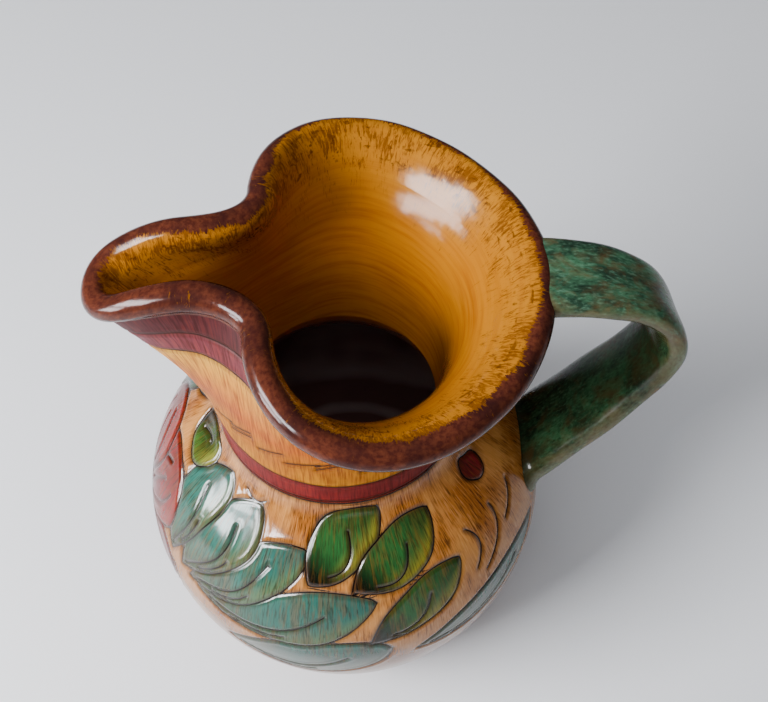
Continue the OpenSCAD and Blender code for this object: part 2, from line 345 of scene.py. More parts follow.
# The collar of the neck starts at a cut round the top of the shoulder
collar_red = "#701A1C"
collar_drop = 1.2
collar_way = np.repeat(rise[:, None] - (side_run[-1] - collar_drop), belly_columns, 1)
cut = np.hypot(to_cut[..., 0], to_cut[..., 1])
at_collar = np.abs(collar_way) < cut
to_cut[at_collar] = np.stack([0 * collar_way, -collar_way], 2)[at_collar]
cut = np.minimum(cut, np.abs(collar_way))
collar_paint = smooth(-0.3, 0.3, collar_way)[..., None]
paint[..., :3] = paint[..., :3] + (linear(collar_red) - paint[..., :3]) * collar_paint
paint[..., 3:] = np.maximum(paint[..., 3:], collar_paint)


def round_about(radii, turns, heights):
    """Points carried round the axis: each row's radius and height at every column's turn."""
    return np.stack(np.broadcast_arrays(radii * np.cos(turns), radii * np.sin(turns), heights), 2)


def cut_shape(gap):
    """Rise of the surface beside a cut: a bell curve down for the groove, and a low one up for the burr on
    each side of it."""
    burr = burr_h * np.exp(-(((gap - burr_off) / burr_half_w) ** 2))
    return burr - cut_depth * np.exp(-((gap / cut_half_w) ** 2))


def skin(name, points, closed):
    """Mesh object over a grid of points, rows by columns, in millimetres. Columns always close into rings.
    The rows close too, or end in a point at the middle of the first and of the last ring."""
    rows, columns = points.shape[:2]
    index = np.arange(rows * columns).reshape(rows, columns)
    if closed:
        index = np.concatenate([index, index[:1]])
    beside = np.roll(index, -1, axis=1)
    faces = np.stack([index[:-1], beside[:-1], beside[1:], index[1:]], 2).reshape(-1, 4).tolist()
    corners = points.reshape(-1, 3)
    if not closed:
        corners = np.concatenate([corners, points[:1].mean(1), points[-1:].mean(1)])
        first = np.full(columns, rows * columns)
        faces += np.stack([beside[0], index[0], first], 1).tolist()
        faces += np.stack([index[-1], beside[-1], first + 1], 1).tolist()
    mesh = bpy.data.meshes.new(name)
    mesh.from_pydata(corners * MM, [], faces)
    mesh.shade_smooth()
    mesh.set_sharp_from_angle(angle=math.radians(75))
    piece = bpy.data.objects.new(name, mesh)
    bpy.context.scene.collection.objects.link(piece)
    return piece


def store(piece, name, values):
    """Keeps values for every corner of a grid as an attribute: numbers, flat or full vectors, or colours with
    a cover. The two points that end an open grid repeat the values of its first and last ring."""
    flat = values.reshape(-1, values.shape[2]) if values.ndim == 3 else values.reshape(-1, 1)
    if flat.shape[1] == 2:
        flat = np.pad(flat, ((0, 0), (0, 1)))
    if len(flat) < len(piece.data.vertices):
        flat = np.concatenate([flat, flat[:1], flat[-1:]])
    kinds = {1: ("FLOAT", "value"), 3: ("FLOAT_VECTOR", "vector"), 4: ("FLOAT_COLOR", "color")}
    kind, field = kinds[flat.shape[1]]
    attribute = piece.data.attributes.new(name, kind, "POINT")
    attribute.data.foreach_set(field, flat.astype(np.float32).ravel())


def store_part(piece, rows, name, first, values, elsewhere):
    """Keeps values that some of a grid's rows have, from a first row on, with one value for all others."""
    whole = np.full((rows, *values.shape[1:]), elsewhere)
    whole[first : first + len(values)] = values
    store(piece, name, whole)


def rgba(code):
    """Colour of a socket from an sRGB hex colour."""
    return (*linear(code), 1.0)


def plug(made, inputs):
    """Sets a node's inputs, by their names or as a list in their order. Each takes a value, a hex colour, a
    node's first output, or (node, output). From and To take both ends of a range."""
    sockets = [s for s in made.inputs if s.enabled]
    pairs = list(zip(sockets, inputs))
    if isinstance(inputs, dict):
        pairs = []
        for name, value in inputs.items():
            named = [s for s in sockets if s.name in (name, name + " Min", name + " Max")]
            pairs += zip(named, value if len(named) > 1 else [value])
    for socket, value in pairs:
        if isinstance(value, bpy.types.Node):
            value = (value, None)
        if isinstance(value, tuple) and isinstance(value[0], bpy.types.Node):
            outputs = [s for s in value[0].outputs if s.enabled and value[1] in (None, s.name)]
            made.id_data.links.new(outputs[0], socket)
        else:
            socket.default_value = rgba(value) if isinstance(value, str) else value


def node(tree, kind, inputs=(), **settings):
    """Adds a shader node with its settings and its inputs. A list for Mix is the share and the two that it
    mixes."""
    made = tree.nodes.new("ShaderNode" + kind)
    for name, value in settings.items():
        setattr(made, name, value)
    plug(made, inputs)
    return made


# Settings that repeat: colours laid over, multiplied or lit by each other, and a step that is eased
laid_over = {"data_type": "RGBA"}
multiplied = {"data_type": "RGBA", "blend_type": "MULTIPLY"}
soft_light = {"data_type": "RGBA", "blend_type": "SOFT_LIGHT"}
eased = {"interpolation_type": "SMOOTHSTEP"}


def per(width, length):
    """Scale of a pattern that is so wide round a piece and so long up it, in millimetres."""
    return (1 / width, 1 / width, 1 / length)


def glazed(name):
    """New material of glossy glaze, with its shader and what adds nodes to it: glass of index 1.5 over a
    coloured body, with a part of its mirroring, because the pale room shows little in it."""
    material = bpy.data.materials.new(name)
    material.use_nodes = True
    shader = material.node_tree.nodes["Principled BSDF"]
    plug(shader, {"IOR": 1.5, "Specular IOR Level": 0.15})
    return material, shader, partial(node, material.node_tree)


def cut_marks(add):
    """Nodes that show the cuts: a thin dark line where the way to the nearest cut passes zero, a brown stain
    beside it, and the depth of the groove. The way also turns round midway between two cuts, and the plain
    distance, which is large there, keeps the line out of such places."""
    way = (add("Attribute", attribute_name="way"), "Vector")
    gap = (add("Attribute", attribute_name="cut"), "Fac")
    length = add("VectorMath", [way], operation="LENGTH")
    close = add("MapRange", {"Value": gap, "From": (1.0, 0.7)})
    thin = add("MapRange", {"Value": length, "From": (0.42, 0.14)}, **eased)
    line = add("Math", [thin, close], operation="MULTIPLY")
    wide = add("MapRange", {"Value": length, "From": (0.8, 0.0)})
    groove = add("Math", [wide, close], operation="MULTIPLY")
    stain = add("MapRange", {"Value": gap, "From": (2.2, 0.3), "To": (0, 0.5)})
    return line, stain, groove


# Painted slip under clear glaze: tan ground with brushed brown hairs, leaf colours that the hairs show
# through, brown stain in the cuts, and a wavy gloss over all. Amber runs a little way into the throat and
# fades into the dark brown of the rest of the inside, a fade that is partly painted shade. The inside has
# turning rings with a painted reflection on their crests, and the foot is bare clay.
belly_glaze, shader, add = glazed("Painted slip under clear glaze")
hair_w = 0.6
hair_l = 6.5
brush_w = 1.5
brush_l = 13.0
patch_w = 17.0
ripple_w = 12.0
turning_w = 9.0
dark_from = 128.0
dark_to = 121.0
wrap = (add("Attribute", attribute_name="wrap"), "Vector")
hair_map = add("Mapping", {"Vector": wrap, "Scale": per(hair_w, hair_l)})
hairs = add(
    "TexNoise", {"Vector": hair_map, "Scale": 1.0, "Detail": 3.0, "Roughness": 0.6, "Distortion": 0.4}
)
patches = add("TexNoise", {"Vector": wrap, "Scale": 1 / patch_w, "Detail": 3.0})
# Hairs grow thicker and the ground washes darker towards the collar
risen = (add("SeparateXYZ", {"Vector": wrap}), "Z")
toward_collar = add("MapRange", {"Value": risen, "From": (30.0, 62.0), "To": (0, 0.3)})
thicker = add("Math", [toward_collar, 0.13, hairs], operation="MULTIPLY_ADD")
dark_hairs = add("MapRange", {"Value": thicker, "From": (0.49, 0.68)}, **eased)
pale_hairs = add("MapRange", {"Value": hairs, "From": (0.46, 0.30)}, **eased)
dense = add("MapRange", {"Value": patches, "From": (0.36, 0.62), "To": (0.2, 1)})
hair_share = add("Math", [dark_hairs, dense], operation="MULTIPLY")
warm = add("MapRange", {"Value": patches, "From": (0.40, 0.64)})
tan = add("Mix", [warm, "#C98844", "#B06A26"], **laid_over)
pale = add("Math", [pale_hairs, 0.5], operation="MULTIPLY")
tan_pale = add("Mix", [pale, tan, "#DDA464"], **laid_over)
streaky = add("Math", [patches, toward_collar], operation="ADD")
wash = add("MapRange", {"Value": streaky, "From": (0.55, 0.85), "To": (0, 0.45)})
washed = add("Mix", [wash, tan_pale, "#B49A6C"], **multiplied)
ground = add("Mix", [hair_share, washed, "#46260C"], **laid_over)
# The leaves' paint, worn along the brush's strokes so that the ground shows through
painted = add("Attribute", attribute_name="paint")
brush_map = add("Mapping", {"Vector": wrap, "Scale": per(brush_w, brush_l)})
brush = add(
    "TexNoise", {"Vector": brush_map, "Scale": 1.0, "Detail": 3.0, "Roughness": 0.6, "Distortion": 0.5}
)
thinned = add("MapRange", {"Value": patches, "From": (0.3, 0.7), "To": (-0.1, 0.1)})
brushing = add("Math", [brush, thinned], operation="ADD")
worn = add("MapRange", {"Value": brushing, "From": (0.42, 0.66), "To": (0, 0.42)}, **eased)
ground_under = add("Mix", [1.0, ground, "#A09468"], **multiplied)
paint_worn = add("Mix", [worn, (painted, "Color"), ground_under], **laid_over)
deep = add("Math", [dark_hairs, 0.6], operation="MULTIPLY")
paint_dark = add("Mix", [deep, paint_worn, "#221A08"], **laid_over)
thin = add("Math", [pale_hairs, 0.4], operation="MULTIPLY")
paint_pale = add("Mix", [thin, paint_dark, "#E0E0C8"], **soft_light)
coloured = add("Mix", [(painted, "Alpha"), ground, paint_pale], **laid_over)
# Painted shade: the outside darkens towards the foot
painted_shade_low = add("MapRange", {"Value": risen, "From": (45.0, -20.0), "To": (0, 0.9)})
with_painted_shade = add("Mix", [painted_shade_low, coloured, "#847C6C"], **multiplied)
line, stain, groove = cut_marks(add)
stained = add("Mix", [stain, with_painted_shade, "#301A0A"], **laid_over)
outside = add("Mix", [line, stained, "#160B06"], **laid_over)
# The inside, amber at the throat and dark brown glaze below, with a fade between them that is partly
# painted shade, and a ring for each turn of the potter's finger whose pale crests are a painted reflection
place = (add("TexCoord"), "Object")
height = (add("SeparateXYZ", {"Vector": place}), "Z")
# Partly painted shade: the amber darkens into the dark brown glaze below the throat
glaze_and_shade_fade = add("MapRange", {"Value": height, "From": (dark_from * MM, dark_to * MM)})
inside = add("Mix", [glaze_and_shade_fade, "#D37B21", "#785450"], **laid_over)
uneven = add("Mix", [patches, inside, "#60403A"], **multiplied)
mixed_in = add("Mix", [0.35, inside, uneven], **laid_over)
# A wave texture turns by 20 radians in each metre, times its scale
ring_scale = 2 * math.pi / (20 * turning_w * MM)
rings = add(
    "TexWave",
    {"Vector": place, "Scale": ring_scale, "Distortion": 1.5, "Detail": 1.0},
    wave_type="RINGS",
    rings_direction="Z",
)
# Painted reflection: the rings' crests are paler, mostly on the inside floor
crest_reflection = add("MapRange", {"Value": rings, "From": (0.6, 1.0), "To": (0, 0.5)})
crest_reflection_share = add("Math", [crest_reflection, glaze_and_shade_fade], operation="MULTIPLY")
ring_reflected = add("Mix", [crest_reflection_share, mixed_in, "#B8A6A2"], **laid_over)
within = (add("Attribute", attribute_name="within"), "Fac")
both = add("Mix", [within, outside, ring_reflected], **laid_over)
bare = (add("Attribute", attribute_name="bare"), "Fac")
clay = add("Mix", [hairs, "#B77C55", "#A0663F"], **laid_over)
finish = add("Mix", [bare, both, clay], **laid_over)
gloss = add("MapRange", {"Value": hairs, "To": (0.08, 0.22)})
rough = add("Mix", [bare, gloss, 0.85], data_type="FLOAT")
ripples = add("TexNoise", {"Vector": wrap, "Scale": 1 / ripple_w, "Detail": 1.0})
wavy = add("Bump", {"Height": ripples, "Strength": 0.35, "Distance": 0.3 * MM})
brushed = add("Bump", {"Height": hairs, "Normal": wavy, "Strength": 0.2, "Distance": 0.04 * MM})
scored = add(
    "Bump", {"Height": groove, "Normal": brushed, "Strength": 0.6, "Distance": 0.3 * MM}, invert=True
)
plug(shader, {"Specular IOR Level": 0.25, "Base Color": finish, "Roughness": rough, "Normal": scored})

turned = np.radians(azimuth)
shell = np.concatenate([sole, outer, inner])
carved = round_about(shell[:, :1], turned, shell[:, 1:])
out_from = len(sole)
out_to = out_from + len(outer)
square_round = round_about(outer_square[:, :1], turned, outer_square[:, 1:])
carved[out_from:out_to] += cut_shape(cut)[..., None] * square_round
belly = skin("belly_body", carved, closed=False)
lengths = np.concatenate([np.full(len(sole), rise[0]), rise, rise[-1] + run_lengths(inner)])
store(belly, "wrap", round_about(belly_r, turned, lengths[:, None]))
store_part(belly, len(shell), "paint", out_from, paint, 0.0)
store_part(belly, len(shell), "cut", out_from, cut, far)
store_part(belly, len(shell), "way", out_from, to_cut, far)
store_part(belly, len(shell), "within", out_to, np.ones((len(inner), belly_columns)), 0.0)
store_part(belly, len(shell), "bare", 0, np.ones((out_from - 1, belly_columns)), 0.0)
belly.data.materials.append(belly_glaze)
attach(belly, "root")
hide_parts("belly")

# Neck
# A trumpet thrown by itself and luted on the belly. Its mouth is pinched in from both sides and drawn
# out into a spout. Outside it is painted in bands between cut lines, inside it is amber.
mouth_r = 59.5
mouth_h = 192.5
flare_power = 4.5
spout_reach = 69.0
spout_half_w = 12.75
spout_rise = 11.0
spout_power = 1.5
spout_span_share = 0.5
pinch_start = math.radians(45)
# How far the edge runs straight on where its curves meet, as shares of the radius, rise or last lead
round_lead_share = 0.7
lift_lead_share = 0.1
pinch_lead_share = 0.42
tip_lead_share = 1.45

mouth_half = 240
mouth_columns = 2 * mouth_half
neck_outer_rows = 96
neck_inner_rows = 48


def ease(t):
    """Half a cosine wave, from 0 to 1."""
    return (1 - np.cos(np.pi * np.clip(t, 0, 1))) / 2


def pinch_point(x, y, z):
    """Place on the mouth's edge, as shares of the mouth's radius and of the spout's rise."""
    return np.array([x * mouth_r, y * mouth_r, mouth_h + z * spout_rise])


def spout_point(x, y, z):
    """Place on the spout's edge, as shares of its reach, half width and rise."""
    return np.array([x * spout_reach, y * spout_half_w, mouth_h + z * spout_rise])


def mouth_edge():
    """Middle of the wall's top edge round the mouth, from the handle and at even steps: an arc, the pinch,
    the spout's wall and its tip, as cubic curves for one half, and their mirror for the other."""
    a = np.linspace(0, pinch_start, curve_steps // 2)[:, None]
    arc = pinch_point(0, 0, 0) + mouth_r * np.concatenate([np.cos(a), np.sin(a), 0 * a], 1)
    round_lead = round_lead_share * mouth_r
    lead = arc[-1] + [
        -round_lead * math.sin(pinch_start),
        round_lead * math.cos(pinch_start),
        lift_lead_share * spout_rise,
    ]
    pinch_turn = pinch_point(-0.29, 0.94, 0.75)
    pinch_end = pinch_point(-0.36, 0.48, 0.82)
    pinch_lead = pinch_end + pinch_lead_share * (pinch_end - pinch_turn)
    wall_lead = spout_point(-0.507, 1.06, 1.04)
    wall_end = spout_point(-0.638, 1, 0.97)
    tip_lead = wall_end + tip_lead_share * (wall_end - wall_lead)
    t = np.linspace(0, 1, curve_steps)[1:]
    line = np.concatenate(
        [
            arc,
            bezier([arc[-1], lead, pinch_turn, pinch_end], t),
            bezier([pinch_end, pinch_lead, wall_lead, wall_end], t),
            bezier([wall_end, tip_lead, spout_point(-1, 0.85, 0.06), spout_point(-1, 0, 0.06)], t),
        ]
    )
    run = run_lengths(line)
    half = read_off(np.linspace(0, run[-1], mouth_half + 1), run, line)
    return np.concatenate([half, half[-2:0:-1] * [1, -1, 1]]), 2 * run[-1]


edge, edge_length = mouth_edge()
mouth_share = np.arange(mouth_columns) / mouth_half
mouth_turn = np.pi * mouth_share
seat = (neck_r - wall / 2) * np.stack([np.cos(mouth_turn), np.sin(mouth_turn)], 1)
from_spout = np.abs(mouth_share - 1)
flare = spout_power + (flare_power - spout_power) * ease(from_spout / spout_span_share)


def neck_wall(t):
    """Middle of the neck's wall and the direction square to it, at shares t of the way up, as rows by
    columns. It leaves the joint's circle for the mouth's edge with the power that flare gives, and the wall
    tilts with that flare."""
    gone = edge[:, :2] - seat
    flat = seat + gone * (t**flare)[..., None]
    middle = np.concatenate([flat, (seat_h + (edge[:, 2] - seat_h) * t)[..., None]], 2)
    run = np.roll(flat, -1, axis=1) - np.roll(flat, 1, axis=1)
    out = np.stack([run[..., 1], -run[..., 0]], 2) / np.linalg.norm(run, axis=2, keepdims=True)
    lean = np.arctan2((gone * out).sum(2) * flare * t ** (flare - 1), edge[:, 2] - seat_h)
    return middle, np.concatenate([out * np.cos(lean)[..., None], -np.sin(lean)[..., None]], 2)


# Bands outside, by their distance below the mouth's edge or their height above the joint
apron_w = 9.0
mauve_w = 9.0
collar_h = 11.0
joint_cut_h = 0.6
tick_count = 24
tick_lean = 10.0
tick_rise = 5.0
tick_gap = 2.2
tick_reach = 20.0
field_h = 30.0
neck_cut_share = 0.7

up_outer = np.linspace(0, 1, neck_outer_rows)[:, None]
middle_line, square_out = neck_wall(up_outer)
neck_outside = middle_line + wall / 2 * square_out
below = run_lengths(neck_outside[::-1])[::-1]
above = below[:1] - below
# The hand that drew the lines wavered a little as the neck went round
hand = 0.35 * np.sin(5 * mouth_turn) + 0.25 * np.sin(13 * mouth_turn + 1)
band_top = below - apron_w - hand
band_low = below - apron_w - mauve_w - 1.4 * hand
collar_top = above - collar_h - 0.5 * hand
ring_ways = np.stack([band_top, band_low, collar_top, above - joint_cut_h])
nearest_ring = np.argmin(np.abs(ring_ways), axis=0)
ring_way = np.take_along_axis(ring_ways, nearest_ring[None], axis=0)[0]
neck_way = np.stack([0 * ring_way, ring_way], 2)
# Short slanting cuts round the painted field, some of them doubled
ring_length = np.linalg.norm(np.roll(neck_outside, -1, axis=1) - neck_outside, axis=2).sum(1)[:, None]
for k in range(tick_count):
    turn_share = (k + dice.uniform(-0.2, 0.2)) / tick_count
    low = dice.uniform(0.3, 0.42) * field_h
    lean = tick_lean * dice.uniform(0.8, 1.2)
    tick = np.array([[-lean / 2, low], [lean / 2, low + tick_rise * dice.uniform(0.8, 1.2)]])
    x = ((mouth_turn / (2 * np.pi) - turn_share + 0.5) % 1 - 0.5) * ring_length
    close_by = (np.abs(x) < tick_reach) & (collar_top > 0) & (band_low > 0)
    for shift in [0, tick_gap][: 1 + (k % 3 == 0)]:
        engrave(neck_way, close_by, tick + [0, shift], x[close_by], collar_top[close_by])
neck_cut = np.hypot(neck_way[..., 0], neck_way[..., 1])

# Colours of the field as shares of its height, then the mauve band, the apron under the lip and the collar
field = np.clip(collar_top, 0, None) / (np.clip(collar_top, 0, None) + np.clip(band_low, 0.01, None))
field_shares = [0.0, 0.36, 0.52, 0.66, 0.84, 1.0]
field_colours = ("#AE7000", "#AA6400", "#A85400", "#B26408", "#C4821C", "#CC9630")
neck_paint = read_off(field, field_shares, [linear(c) for c in field_colours])
for way, colour in ((band_low, "#6A2B33"), (band_top, "#48191C"), (collar_top, collar_red)):
    neck_paint = neck_paint + (linear(colour) - neck_paint) * smooth(0.2, -0.2, way)[..., None]
neck_paint = np.concatenate([neck_paint, np.ones((*below.shape, 1))], 2)

up_inner = np.linspace(1, 0, neck_inner_rows)[:, None]
inner_line, inner_square = neck_wall(up_inner)
neck_inside = inner_line - (wall / 2 + throat_gain * (1 - up_inner) ** 2)[..., None] * inner_square
both_below = np.concatenate([below, run_lengths(neck_inside)])


def amber_glaze(add):
    """Nodes of the amber glaze inside the mouth: honey tones with turning lines, brown flecks drawn in from
    the edge by a dry brush, which thin out with the distance below it, and blots close to the edge. Gives the
    colour, the flecks and the place."""
    tone_w = 24.0
    tone_l = 48.0
    turning_l = 40.0
    turning_w = 1.6
    fleck_w = 0.75
    fleck_l = 3.6
    clump_w = 8.0
    blot_w = 4.5
    blot_l = 2.5
    wrap = (add("Attribute", attribute_name="wrap"), "Vector")
    depth = (add("Attribute", attribute_name="below"), "Fac")
    tone_map = add("Mapping", {"Vector": wrap, "Scale": per(tone_w, tone_l)})
    tones = add("TexNoise", {"Vector": tone_map, "Scale": 1.0, "Detail": 3.0})
    honey = add("Mix", [tones, "#AC6402", "#B47106"], **laid_over)
    turning_map = add("Mapping", {"Vector": wrap, "Scale": per(turning_l, turning_w)})
    turning = add("TexNoise", {"Vector": turning_map, "Scale": 1.0, "Detail": 3.0, "Roughness": 0.6})
    turned = add("MapRange", {"Value": turning, "From": (0.42, 0.7), "To": (0, 0.55)})
    lined = add("Mix", [turned, honey, "#C8A070"], **multiplied)
    worn = add("MapRange", {"Value": depth, "From": (20.0, 2.0), "To": (0, 0.5)})
    edge_tone = add("Mix", [worn, lined, "#B3771E"], **laid_over)
    fleck_map = add("Mapping", {"Vector": wrap, "Scale": per(fleck_w, fleck_l)})
    flecks = add(
        "TexNoise",
        {"Vector": fleck_map, "Scale": 1.0, "Detail": 4.0, "Roughness": 0.7, "Distortion": 0.7},
    )
    clumps = add("TexNoise", {"Vector": wrap, "Scale": 1 / clump_w, "Detail": 3.0})
    fade = add("MapRange", {"Value": depth, "From": (0, 30.0), "To": (0.1, -0.2)})
    more = add("MapRange", {"Value": clumps, "From": (0.3, 0.7), "To": (-0.1, 0.1)})
    biased = add("Math", [flecks, fade], operation="ADD")
    clumped = add("Math", [biased, more], operation="ADD")
    marks = add("MapRange", {"Value": clumped, "From": (0.52, 0.7), "To": (0, 0.8)}, **eased)
    fleck_tone = add("Mix", [flecks, "#7A420E", "#3E1C08"], **laid_over)
    flecked = add("Mix", [marks, edge_tone, fleck_tone], **laid_over)
    blot_map = add("Mapping", {"Vector": wrap, "Scale": per(blot_w, blot_l)})
    blot = add("TexNoise", {"Vector": blot_map, "Scale": 1.0, "Detail": 3.0, "Distortion": 0.4})
    edge_only = add("MapRange", {"Value": depth, "From": (4.0, 14.0), "To": (0, -0.2)})
    blot_place = add("Math", [blot, edge_only], operation="ADD")
    blots = add("MapRange", {"Value": blot_place, "From": (0.6, 0.68), "To": (0, 0.7)})
    amber = add("Mix", [blots, flecked, "#46200A"], **laid_over)
    return amber, flecks, wrap


# Amber glaze inside, painted slip bands under clear glaze outside: brushed streaks up the wall, and
# a red-brown stain in the cuts
neck_glaze, shader, add = glazed("Amber glaze and painted bands")
streak_w = 0.9
streak_l = 9.0
cloud_w = 10.0
amber, flecks, wrap = amber_glaze(add)
painted = (add("Attribute", attribute_name="paint"), "Color")
streak_map = add("Mapping", {"Vector": wrap, "Scale": per(streak_w, streak_l)})
brush = add("TexNoise", {"Vector": streak_map, "Scale": 1.0, "Detail": 3.0})
tones = add("TexNoise", {"Vector": wrap, "Scale": 1 / cloud_w, "Detail": 2.0})
streaks = add("MapRange", {"Value": brush, "From": (0.46, 0.66), "To": (0, 0.9)})
pale = add("MapRange", {"Value": brush, "From": (0.48, 0.3), "To": (0, 0.6)})
warm = add("MapRange", {"Value": tones, "From": (0.48, 0.68), "To": (0, 0.35)})
warmed = add("Mix", [warm, painted, "#D8A050"], **multiplied)
streaked = add("Mix", [streaks, warmed, "#B8946A"], **multiplied)
brightened = add("Mix", [pale, streaked, "#F0D890"], **soft_light)
line, stain, groove = cut_marks(add)
stained = add("Mix", [stain, brightened, "#401406"], **laid_over)
outside = add("Mix", [line, stained, "#2A0F06"], **laid_over)
within = (add("Attribute", attribute_name="within"), "Fac")
finish = add("Mix", [within, outside, amber], **laid_over)
gloss = add("MapRange", {"Value": within, "To": (0.42, 0.1)})
uneven_gloss = add("Math", [brush, 0.12, gloss], operation="MULTIPLY_ADD")
wavy = add("Bump", {"Height": tones, "Strength": 0.5, "Distance": 0.35 * MM})
raised = add("Bump", {"Height": flecks, "Normal": wavy, "Strength": 0.3, "Distance": 0.05 * MM})
scored = add("Bump", {"Height": groove, "Normal": raised, "Strength": 0.6, "Distance": 0.3 * MM}, invert=True)
plug(shader, {"Specular IOR Level": 0.08, "Base Color": finish, "Roughness": uneven_gloss, "Normal": scored})

neck_outside = neck_outside + (neck_cut_share * cut_shape(neck_cut))[..., None] * square_out
neck = skin("neck_trumpet", np.concatenate([neck_outside, neck_inside]), closed=True)
wrap_r = edge_length / (2 * np.pi)
store(neck, "wrap", round_about(wrap_r, mouth_turn, both_below))
store(neck, "below", both_below)
store_part(neck, len(both_below), "paint", 0, neck_paint, 0.0)
store_part(neck, len(both_below), "cut", 0, neck_cut, far)
store_part(neck, len(both_below), "way", 0, neck_way, far)
store_part(neck, len(both_below), "within", 0, np.zeros(below.shape), 1.0)
neck.data.materials.append(neck_glaze)
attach(neck, "root")
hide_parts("neck")

# Lip roll
# A coil of clay laid on the neck's top edge and wiped down on both sides, so that it stands proud as a
# round bead. It is dipped in brown glaze, which stops in brushed patches where the amber starts.
lip_r = 4.75
lip_lift = math.sqrt(lip_r**2 - (wall / 2) ** 2)
wipe_down = 6.0
wipe_in = 13.0
leave_turn = math.radians(118)
leave_share = 1.1
flush_share = 0.35
tuck = 0.04
proud = 0.02
fillet = 0.9
lip_rows = 52
end_rows = 3
end_step = 0.2


def lip_section():
    """Section of the lip from its outer to its inner end: offsets from the middle of the wall, heights above
    the wall's edge, turns about the coil's centre, and lengths along it. Outside, the coil's circle and the
    wall's face are joined by a soft maximum of their distances from that centre. Inside, a cubic curve leaves
    the circle and comes down flush with the wall. Both ends dip just under the wall's faces."""
    low_turn = math.atan2(lip_lift + wipe_down, wall / 2)
    turn = np.linspace(-low_turn, leave_turn, 10 * curve_steps)
    sunk = smooth(0, -1, np.sin(turn) / math.sin(low_turn))
    face = (wall / 2 + proud - (tuck + proud) * sunk) / np.maximum(np.abs(np.cos(turn)), 0.05)
    face = np.where(np.sin(turn) < 0, face, 0)
    soft = np.clip(0.5 + (face - lip_r) / (2 * fillet), 0, 1)
    radius = lip_r + (face - lip_r) * soft + fillet * soft * (1 - soft)
    rolled = np.stack([radius * np.cos(turn), lip_lift + radius * np.sin(turn)], 1)
    heading = np.array([-math.sin(leave_turn), math.cos(leave_turn)])
    leave_lead = rolled[-1] + leave_share * lip_r * heading
    flush_lead = (-wall / 2 - 2 * proud, -flush_share * wipe_in)
    flush = (tuck - wall / 2, -wipe_in)
    t = np.linspace(0, 1, 5 * curve_steps)[1:]
    line = np.concatenate([rolled, bezier([rolled[-1], leave_lead, flush_lead, flush], t)])
    turn = np.unwrap(np.arctan2(line[:, 1] - lip_lift, line[:, 0]))
    run = run_lengths(line)
    ends = end_step * np.arange(end_rows)
    between = np.linspace(end_rows * end_step, run[-1] - end_rows * end_step, lip_rows)
    rows = np.concatenate([ends, between, run[-1] - ends[::-1]])
    return read_off(rows, run, np.column_stack([line, turn, run])).T


lip_out, lip_up, lip_turn, lip_run = lip_section()
# Below the edge the section follows the neck's curved wall, and above it the wall's own direction there
gone_r = np.linalg.norm(edge[:, :2] - seat, axis=1)
edge_speed = np.hypot(gone_r * flare, edge[:, 2] - seat_h)
lip_line, lip_square = neck_wall(1 + np.minimum(lip_up, 0)[:, None] / edge_speed)
edge_square = neck_wall(np.ones((1, 1)))[1][0]
level = np.linalg.norm(edge_square[:, :2], axis=1, keepdims=True)
along_up = np.concatenate([-edge_square[:, 2:] * edge_square[:, :2] / level, level], 1)
lip_points = lip_line + lip_out[:, None, None] * lip_square + np.maximum(lip_up, 0)[:, None, None] * along_up
# Shape of a hand-rolled coil: it swells and thins a little round the mouth
swells = 0.12 * np.sin(7 * mouth_turn + 0.6) + 0.08 * np.sin(17 * mouth_turn)
on_top = np.clip(np.sin(lip_turn), 0, 1)
lip_points = lip_points + on_top[:, None, None] * swells[:, None] * along_up

# Brown glaze on a coil: mottled red-brown that breaks darker, with amber showing along the inner side
lip_glaze, shader, add = glazed("Mottled brown glaze over amber")
mottle_w = 1.5
break_w = 9.09
amber, flecks, wrap = amber_glaze(add)
mottle = add("TexNoise", {"Vector": wrap, "Scale": 1 / mottle_w, "Detail": 4.0, "Roughness": 0.6})
broad = add("TexNoise", {"Vector": wrap, "Scale": 1 / break_w, "Detail": 2.0})
red_share = add("MapRange", {"Value": mottle, "From": (0.36, 0.74)})
brown = add("Mix", [red_share, "#421E17", "#683522"], **laid_over)
dark_share = add("MapRange", {"Value": broad, "From": (0.44, 0.68), "To": (0, 0.75)})
broken = add("Mix", [dark_share, brown, "#2C1515"], **laid_over)
inward = (add("Attribute", attribute_name="inward"), "Fac")
ragged = add("MapRange", {"Value": flecks, "From": (0.25, 0.75), "To": (-0.65, 0.65)})
loose = add("MapRange", {"Value": broad, "From": (0.3, 0.7), "To": (-0.22, 0.22)})
shifted = add("Math", [inward, ragged], operation="ADD")
loosened = add("Math", [shifted, loose], operation="ADD")
amber_share = add("MapRange", {"Value": loosened, "From": (0.42, 0.58)}, **eased)
finish = add("Mix", [amber_share, broken, amber], **laid_over)
gloss = add("MapRange", {"Value": mottle, "To": (0.1, 0.22)})
wavy = add("Bump", {"Height": broad, "Strength": 0.5, "Distance": 0.5 * MM})
pitted = add("Bump", {"Height": mottle, "Normal": wavy, "Strength": 0.25, "Distance": 0.08 * MM})
plug(shader, {"Specular IOR Level": 0.1, "Base Color": finish, "Roughness": gloss, "Normal": pitted})

lip = skin("lip_coil", lip_points, closed=True)
lip_below = wipe_in - (lip_run[-1] - lip_run)
lip_below = np.broadcast_to(lip_below[:, None], lip_points.shape[:2])
store(lip, "wrap", round_about(wrap_r, mouth_turn, lip_below))
store(lip, "below", np.maximum(lip_below, 0))
# The brown reaches further in along the front and the handle than along the back
dip_turns = np.pi * np.array([0, 0.25, 0.5, 0.9, 1, 1.1, 1.5, 1.75, 2])
dip_ends = np.radians([150, 128, 122, 122, 145, 165, 165, 160, 150])
dip = np.interp(mouth_turn, dip_turns, dip_ends)
store(lip, "inward", smooth(-0.6, 0.6, lip_turn[:, None] - dip))
lip.data.materials.append(lip_glaze)
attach(lip, "root")
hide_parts("lip_roll")

